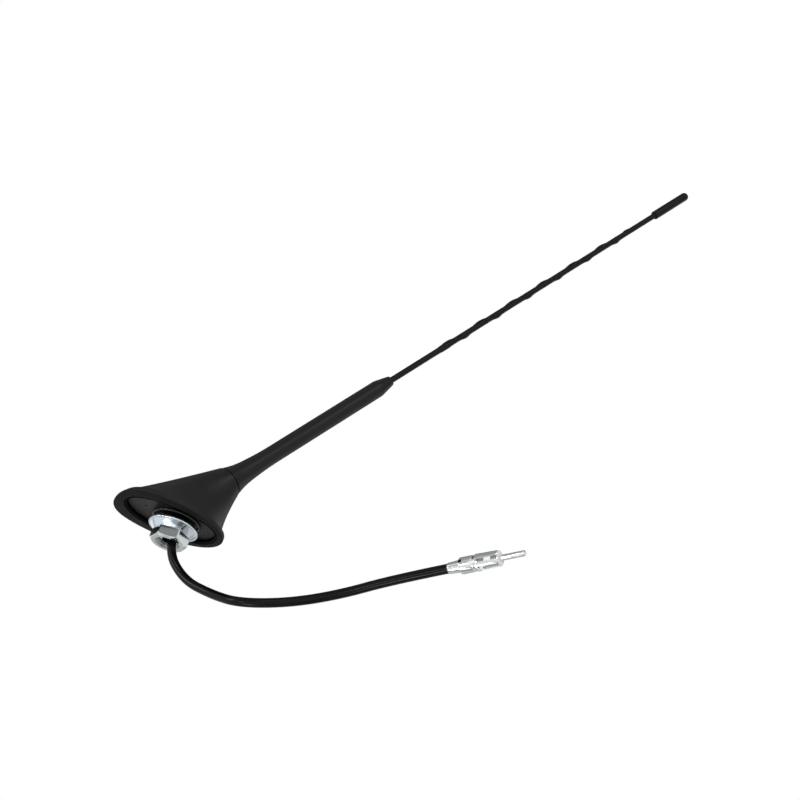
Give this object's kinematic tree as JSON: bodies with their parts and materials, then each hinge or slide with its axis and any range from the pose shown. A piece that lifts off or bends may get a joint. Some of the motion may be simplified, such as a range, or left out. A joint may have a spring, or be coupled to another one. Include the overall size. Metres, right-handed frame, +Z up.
{
  "type": "car roof antenna",
  "caption": "Leaning rod antenna with a spiral ridge on a flared roof base, clamped by a hollow stud with washer and nut, and a short coaxial lead ending in a plug.",
  "frame": {"origin": "on the clamping stud's axis, in the roof plane where the gasket's underside rests", "axes": "+Z up out of the roof, +X to the rear of the car, the way the mast leans, +Y to the car's right"},
  "size_m": [0.2787, 0.1831, 0.4231],
  "materials": {
    "cover_plastic": "fine satin grain, near black",
    "seal_rubber": "matte black rubber",
    "base_plastic": "smooth black moulding",
    "zinc_steel": "bright zinc plating",
    "brass": "turned",
    "mast_plastic": "satin black sleeve",
    "rod_fibre": "bare glass-fibre rod",
    "copper": "bare copper",
    "cable_jacket": "smooth black jacket",
    "plug_metal": "bright tin plating",
    "plug_insulation": "pale moulded insulator"
  },
  "bodies": {
    "base": {"roof_gasket": "seal_rubber", "base_plate": "base_plastic", "stud_boss": "base_plastic", "mounting_stud": "zinc_steel", "base_cover": "cover_plastic", "mast_socket": "brass", "core_lead": "copper", "coax_cable": "cable_jacket", "plug_crimp": "plug_metal", "plug_collar": "plug_metal", "plug_barrel": "plug_metal", "plug_insulator": "plug_insulation", "plug_pin": "plug_metal"},
    "washer": {"clamp_washer": "zinc_steel"},
    "nut": {"hex_nut": "zinc_steel"},
    "seal": {"mast_seal": "seal_rubber"},
    "mast": {"mast_ferrule": "brass", "mast_grip": "cover_plastic", "mast_rod": "rod_fibre", "helix_wire": "copper", "mast_sleeve": "mast_plastic", "tip_cap": "mast_plastic"}
  },
  "joints": [
    {"name": "washer_slide", "type": "slide", "parent": "base", "child": "washer", "axis": [0, 0, 1], "range_m": [-0.003, 0.0015]},
    {"name": "nut_turn", "type": "hinge", "parent": "washer", "child": "nut", "pos_m": [0, 0, -0.0095], "axis": [0, 0, 1], "range_deg": [-720, 360]},
    {"name": "mast_rise", "type": "slide", "parent": "base", "child": "seal", "axis": [0.5476, 0, 0.8368], "range_m": [0, 0.008]},
    {"name": "mast_turn", "type": "hinge", "parent": "seal", "child": "mast", "pos_m": [0.0183, 0, 0.0342], "axis": [0.5476, 0, 0.8368], "range_deg": [0, 3600]}
  ],
  "couplings": [
    {"joint": "nut_turn", "follows": "washer_slide", "rad_per_m": 4188.8},
    {"joint": "mast_turn", "follows": "mast_rise", "rad_per_m": 7854}
  ]
}
